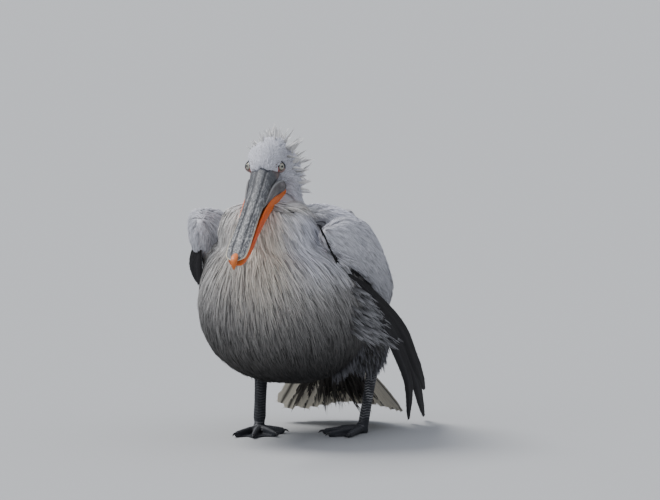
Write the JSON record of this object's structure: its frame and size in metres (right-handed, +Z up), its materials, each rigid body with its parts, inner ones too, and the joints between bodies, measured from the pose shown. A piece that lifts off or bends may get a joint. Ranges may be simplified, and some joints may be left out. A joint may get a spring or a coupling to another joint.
{
  "type": "standing dalmatian pelican",
  "caption": "Life-size still model of a Dalmatian pelican standing on webbed feet, neck drawn in, bill lowered over the breast, wings folded and drooped.",
  "frame": {"origin": "on the ground, at the middle of the bird's bounding box in plan", "axes": "+Z up; the bird faces -Y; its left side is +X"},
  "size_m": [0.3782, 0.8654, 0.6666],
  "materials": {
    "plumage": "matte, silky",
    "breast_plumage": "matte, silky",
    "flight_quills": "satin",
    "tail_feathers": "matte",
    "bill_horn": "satin, worn",
    "nail_horn": "satin",
    "pouch_skin": "satin",
    "iris": "wet gloss",
    "leg_skin": "matte, scaled",
    "claw": "satin"
  },
  "bodies": {
    "root": {"bill_lower": "pouch_skin", "bill_nail": "nail_horn", "bill_upper": "bill_horn", "claw_left_hind": "claw", "claw_left_inner": "claw", "claw_left_middle": "claw", "claw_left_outer": "claw", "claw_right_hind": "claw", "claw_right_inner": "claw", "claw_right_middle": "claw", "claw_right_outer": "claw", "crest": "plumage", "eye_left": "iris", "eye_right": "iris", "foot_left": "leg_skin", "foot_right": "leg_skin", "head": "plumage", "neck_lower": "plumage", "neck_upper": "plumage", "pouch": "pouch_skin", "primaries_left": "flight_quills", "primaries_right": "flight_quills", "scapulars_left": "plumage", "scapulars_right": "plumage", "tail": "tail_feathers", "tarsus_left": "leg_skin", "tarsus_right": "leg_skin", "tertials_left": "plumage", "tertials_right": "plumage", "thigh_left": "breast_plumage", "thigh_right": "breast_plumage", "trunk": "breast_plumage", "wing_left": "plumage", "wing_right": "plumage"}
  },
  "joints": []
}
